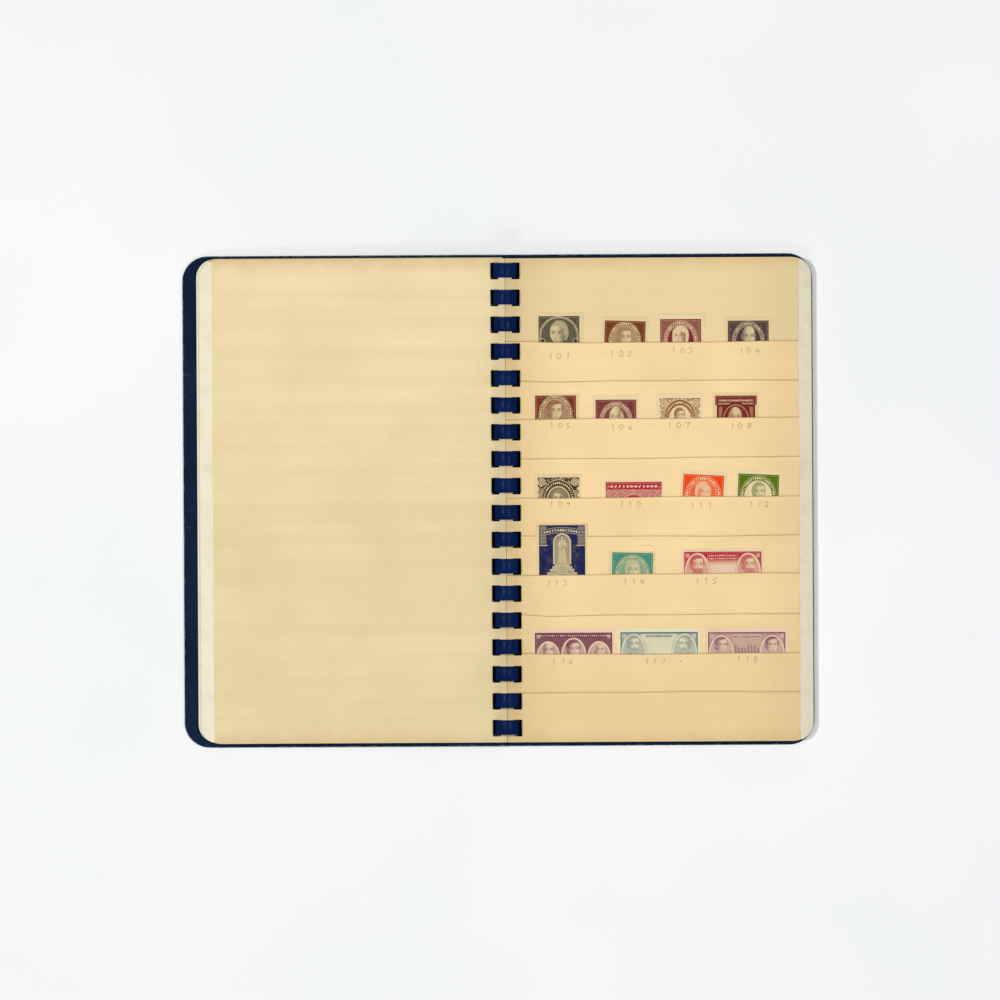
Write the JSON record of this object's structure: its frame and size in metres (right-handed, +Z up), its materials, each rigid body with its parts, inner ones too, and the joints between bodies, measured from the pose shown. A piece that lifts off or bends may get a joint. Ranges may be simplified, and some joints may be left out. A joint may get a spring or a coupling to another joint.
{
  "type": "pocket stock album",
  "caption": "Comb-bound pocket stock album lying open, with covers and pleated manila leaves that turn about the comb and stamps that slide out of their pockets.",
  "frame": {"origin": "on the table plane, on the underside of the comb's spine strip, below the comb's axis and at the pages' mid-height", "axes": "+X right across the open album, +Y along the comb towards the head of the pages, +Z up out of the open pages"},
  "size_m": [0.2974, 0.232, 0.0126],
  "materials": {
    "comb_plastic": "glossy moulded plastic, navy blue",
    "cover_board": "leatherette-grained board, deep navy, low sheen",
    "manila_pocket": "matte manila card",
    "manila_backing": "matte manila card with faint banding",
    "cloth_tape": "ribbed off-white bookbinding cloth",
    "stamp_01_grey_olive_ink": "engraved printing on gummed paper, matte",
    "stamp_02_ochre_brown_ink": "engraved printing on gummed paper, matte",
    "stamp_03_carmine_ink": "engraved printing on gummed paper, matte",
    "stamp_04_violet_ink": "engraved printing on gummed paper, matte",
    "stamp_05_red_brown_ink": "engraved printing on gummed paper, matte",
    "stamp_06_claret_ink": "engraved printing on gummed paper, matte",
    "stamp_07_yellow_brown_ink": "engraved printing on gummed paper, matte",
    "stamp_08_maroon_ink": "engraved printing on gummed paper, matte",
    "stamp_09_black_brown_ink": "engraved printing on gummed paper, matte",
    "stamp_10_carmine_wide_ink": "engraved printing on gummed paper, matte",
    "stamp_11_orange_ink": "engraved printing on gummed paper, matte",
    "stamp_12_olive_green_ink": "engraved printing on gummed paper, matte",
    "stamp_13_slate_tall_ink": "engraved printing on gummed paper, matte",
    "stamp_14_teal_green_ink": "engraved printing on gummed paper, matte",
    "stamp_15_rose_wide_ink": "engraved printing on gummed paper, matte",
    "stamp_16_purple_wide_ink": "engraved printing on gummed paper, matte",
    "stamp_17_blue_grey_wide_ink": "engraved printing on gummed paper, matte",
    "stamp_18_mauve_wide_ink": "engraved printing on gummed paper, matte"
  },
  "bodies": {
    "comb": {"comb_binding": "comb_plastic"},
    "front_cover": {"front_cover": "cover_board"},
    "back_cover": {"back_cover": "cover_board"},
    "left_leaf_1": {"left_leaf_1_pocket_sheet": "manila_pocket", "left_leaf_1_backing_sheet": "manila_backing", "left_leaf_1_edge_tape": "cloth_tape"},
    "left_leaf_2": {"left_leaf_2_pocket_sheet": "manila_pocket", "left_leaf_2_backing_sheet": "manila_backing", "left_leaf_2_edge_tape": "cloth_tape"},
    "right_leaf_1": {"right_leaf_1_pocket_sheet": "manila_pocket", "right_leaf_1_backing_sheet": "manila_backing", "right_leaf_1_edge_tape": "cloth_tape"},
    "right_leaf_2": {"right_leaf_2_pocket_sheet": "manila_pocket", "right_leaf_2_backing_sheet": "manila_backing", "right_leaf_2_edge_tape": "cloth_tape"},
    "right_leaf_3": {"right_leaf_3_pocket_sheet": "manila_pocket", "right_leaf_3_backing_sheet": "manila_backing", "right_leaf_3_edge_tape": "cloth_tape"},
    "stamp_01_grey_olive": {"stamp_01_grey_olive": "stamp_01_grey_olive_ink"},
    "stamp_02_ochre_brown": {"stamp_02_ochre_brown": "stamp_02_ochre_brown_ink"},
    "stamp_03_carmine": {"stamp_03_carmine": "stamp_03_carmine_ink"},
    "stamp_04_violet": {"stamp_04_violet": "stamp_04_violet_ink"},
    "stamp_05_red_brown": {"stamp_05_red_brown": "stamp_05_red_brown_ink"},
    "stamp_06_claret": {"stamp_06_claret": "stamp_06_claret_ink"},
    "stamp_07_yellow_brown": {"stamp_07_yellow_brown": "stamp_07_yellow_brown_ink"},
    "stamp_08_maroon": {"stamp_08_maroon": "stamp_08_maroon_ink"},
    "stamp_09_black_brown": {"stamp_09_black_brown": "stamp_09_black_brown_ink"},
    "stamp_10_carmine_wide": {"stamp_10_carmine_wide": "stamp_10_carmine_wide_ink"},
    "stamp_11_orange": {"stamp_11_orange": "stamp_11_orange_ink"},
    "stamp_12_olive_green": {"stamp_12_olive_green": "stamp_12_olive_green_ink"},
    "stamp_13_slate_tall": {"stamp_13_slate_tall": "stamp_13_slate_tall_ink"},
    "stamp_14_teal_green": {"stamp_14_teal_green": "stamp_14_teal_green_ink"},
    "stamp_15_rose_wide": {"stamp_15_rose_wide": "stamp_15_rose_wide_ink"},
    "stamp_16_purple_wide": {"stamp_16_purple_wide": "stamp_16_purple_wide_ink"},
    "stamp_17_blue_grey_wide": {"stamp_17_blue_grey_wide": "stamp_17_blue_grey_wide_ink"},
    "stamp_18_mauve_wide": {"stamp_18_mauve_wide": "stamp_18_mauve_wide_ink"}
  },
  "joints": [
    {"name": "front_cover_turn", "type": "hinge", "parent": "comb", "child": "front_cover", "pos_m": [0, 0, 0.00632], "axis": [0, 1, 0], "range_deg": [0, 180]},
    {"name": "left_leaf_2_turn", "type": "hinge", "parent": "front_cover", "child": "left_leaf_2", "pos_m": [0, 0, 0.00632], "axis": [0, 1, 0], "range_deg": [0, 180]},
    {"name": "left_leaf_1_turn", "type": "hinge", "parent": "left_leaf_2", "child": "left_leaf_1", "pos_m": [0, 0, 0.00632], "axis": [0, 1, 0], "range_deg": [0, 180]},
    {"name": "back_cover_turn", "type": "hinge", "parent": "comb", "child": "back_cover", "pos_m": [0, 0, 0.00632], "axis": [0, -1, 0], "range_deg": [0, 180]},
    {"name": "right_leaf_3_turn", "type": "hinge", "parent": "back_cover", "child": "right_leaf_3", "pos_m": [0, 0, 0.00632], "axis": [0, -1, 0], "range_deg": [0, 180]},
    {"name": "right_leaf_2_turn", "type": "hinge", "parent": "right_leaf_3", "child": "right_leaf_2", "pos_m": [0, 0, 0.00632], "axis": [0, -1, 0], "range_deg": [0, 180]},
    {"name": "right_leaf_1_turn", "type": "hinge", "parent": "right_leaf_2", "child": "right_leaf_1", "pos_m": [0, 0, 0.00632], "axis": [0, -1, 0], "range_deg": [0, 180]},
    {"name": "stamp_01_grey_olive_slide", "type": "slide", "parent": "right_leaf_1", "child": "stamp_01_grey_olive", "axis": [0.0002, 0.9997, 0.0234], "range_m": [0, 0.016]},
    {"name": "stamp_02_ochre_brown_slide", "type": "slide", "parent": "right_leaf_1", "child": "stamp_02_ochre_brown", "axis": [0.0002, 0.9997, 0.0234], "range_m": [0, 0.016]},
    {"name": "stamp_03_carmine_slide", "type": "slide", "parent": "right_leaf_1", "child": "stamp_03_carmine", "axis": [0.0002, 0.9997, 0.0234], "range_m": [0, 0.016]},
    {"name": "stamp_04_violet_slide", "type": "slide", "parent": "right_leaf_1", "child": "stamp_04_violet", "axis": [0.0002, 0.9997, 0.0234], "range_m": [0, 0.016]},
    {"name": "stamp_05_red_brown_slide", "type": "slide", "parent": "right_leaf_1", "child": "stamp_05_red_brown", "axis": [0.0002, 0.9997, 0.0234], "range_m": [0, 0.016]},
    {"name": "stamp_06_claret_slide", "type": "slide", "parent": "right_leaf_1", "child": "stamp_06_claret", "axis": [0.0002, 0.9997, 0.0234], "range_m": [0, 0.016]},
    {"name": "stamp_07_yellow_brown_slide", "type": "slide", "parent": "right_leaf_1", "child": "stamp_07_yellow_brown", "axis": [0.0002, 0.9997, 0.0234], "range_m": [0, 0.016]},
    {"name": "stamp_08_maroon_slide", "type": "slide", "parent": "right_leaf_1", "child": "stamp_08_maroon", "axis": [0.0002, 0.9997, 0.0234], "range_m": [0, 0.016]},
    {"name": "stamp_09_black_brown_slide", "type": "slide", "parent": "right_leaf_1", "child": "stamp_09_black_brown", "axis": [0.0002, 0.9997, 0.0234], "range_m": [0, 0.016]},
    {"name": "stamp_10_carmine_wide_slide", "type": "slide", "parent": "right_leaf_1", "child": "stamp_10_carmine_wide", "axis": [0.0002, 0.9997, 0.0234], "range_m": [0, 0.016]},
    {"name": "stamp_11_orange_slide", "type": "slide", "parent": "right_leaf_1", "child": "stamp_11_orange", "axis": [0.0002, 0.9997, 0.0234], "range_m": [0, 0.016]},
    {"name": "stamp_12_olive_green_slide", "type": "slide", "parent": "right_leaf_1", "child": "stamp_12_olive_green", "axis": [0.0002, 0.9997, 0.0234], "range_m": [0, 0.016]},
    {"name": "stamp_13_slate_tall_slide", "type": "slide", "parent": "right_leaf_1", "child": "stamp_13_slate_tall", "axis": [0.0002, 0.9997, 0.0234], "range_m": [0, 0.016]},
    {"name": "stamp_14_teal_green_slide", "type": "slide", "parent": "right_leaf_1", "child": "stamp_14_teal_green", "axis": [0.0002, 0.9997, 0.0234], "range_m": [0, 0.016]},
    {"name": "stamp_15_rose_wide_slide", "type": "slide", "parent": "right_leaf_1", "child": "stamp_15_rose_wide", "axis": [0.0002, 0.9997, 0.0234], "range_m": [0, 0.016]},
    {"name": "stamp_16_purple_wide_slide", "type": "slide", "parent": "right_leaf_1", "child": "stamp_16_purple_wide", "axis": [0.0002, 0.9997, 0.0234], "range_m": [0, 0.016]},
    {"name": "stamp_17_blue_grey_wide_slide", "type": "slide", "parent": "right_leaf_1", "child": "stamp_17_blue_grey_wide", "axis": [0.0002, 0.9997, 0.0234], "range_m": [0, 0.016]},
    {"name": "stamp_18_mauve_wide_slide", "type": "slide", "parent": "right_leaf_1", "child": "stamp_18_mauve_wide", "axis": [0.0002, 0.9997, 0.0234], "range_m": [0, 0.016]}
  ]
}
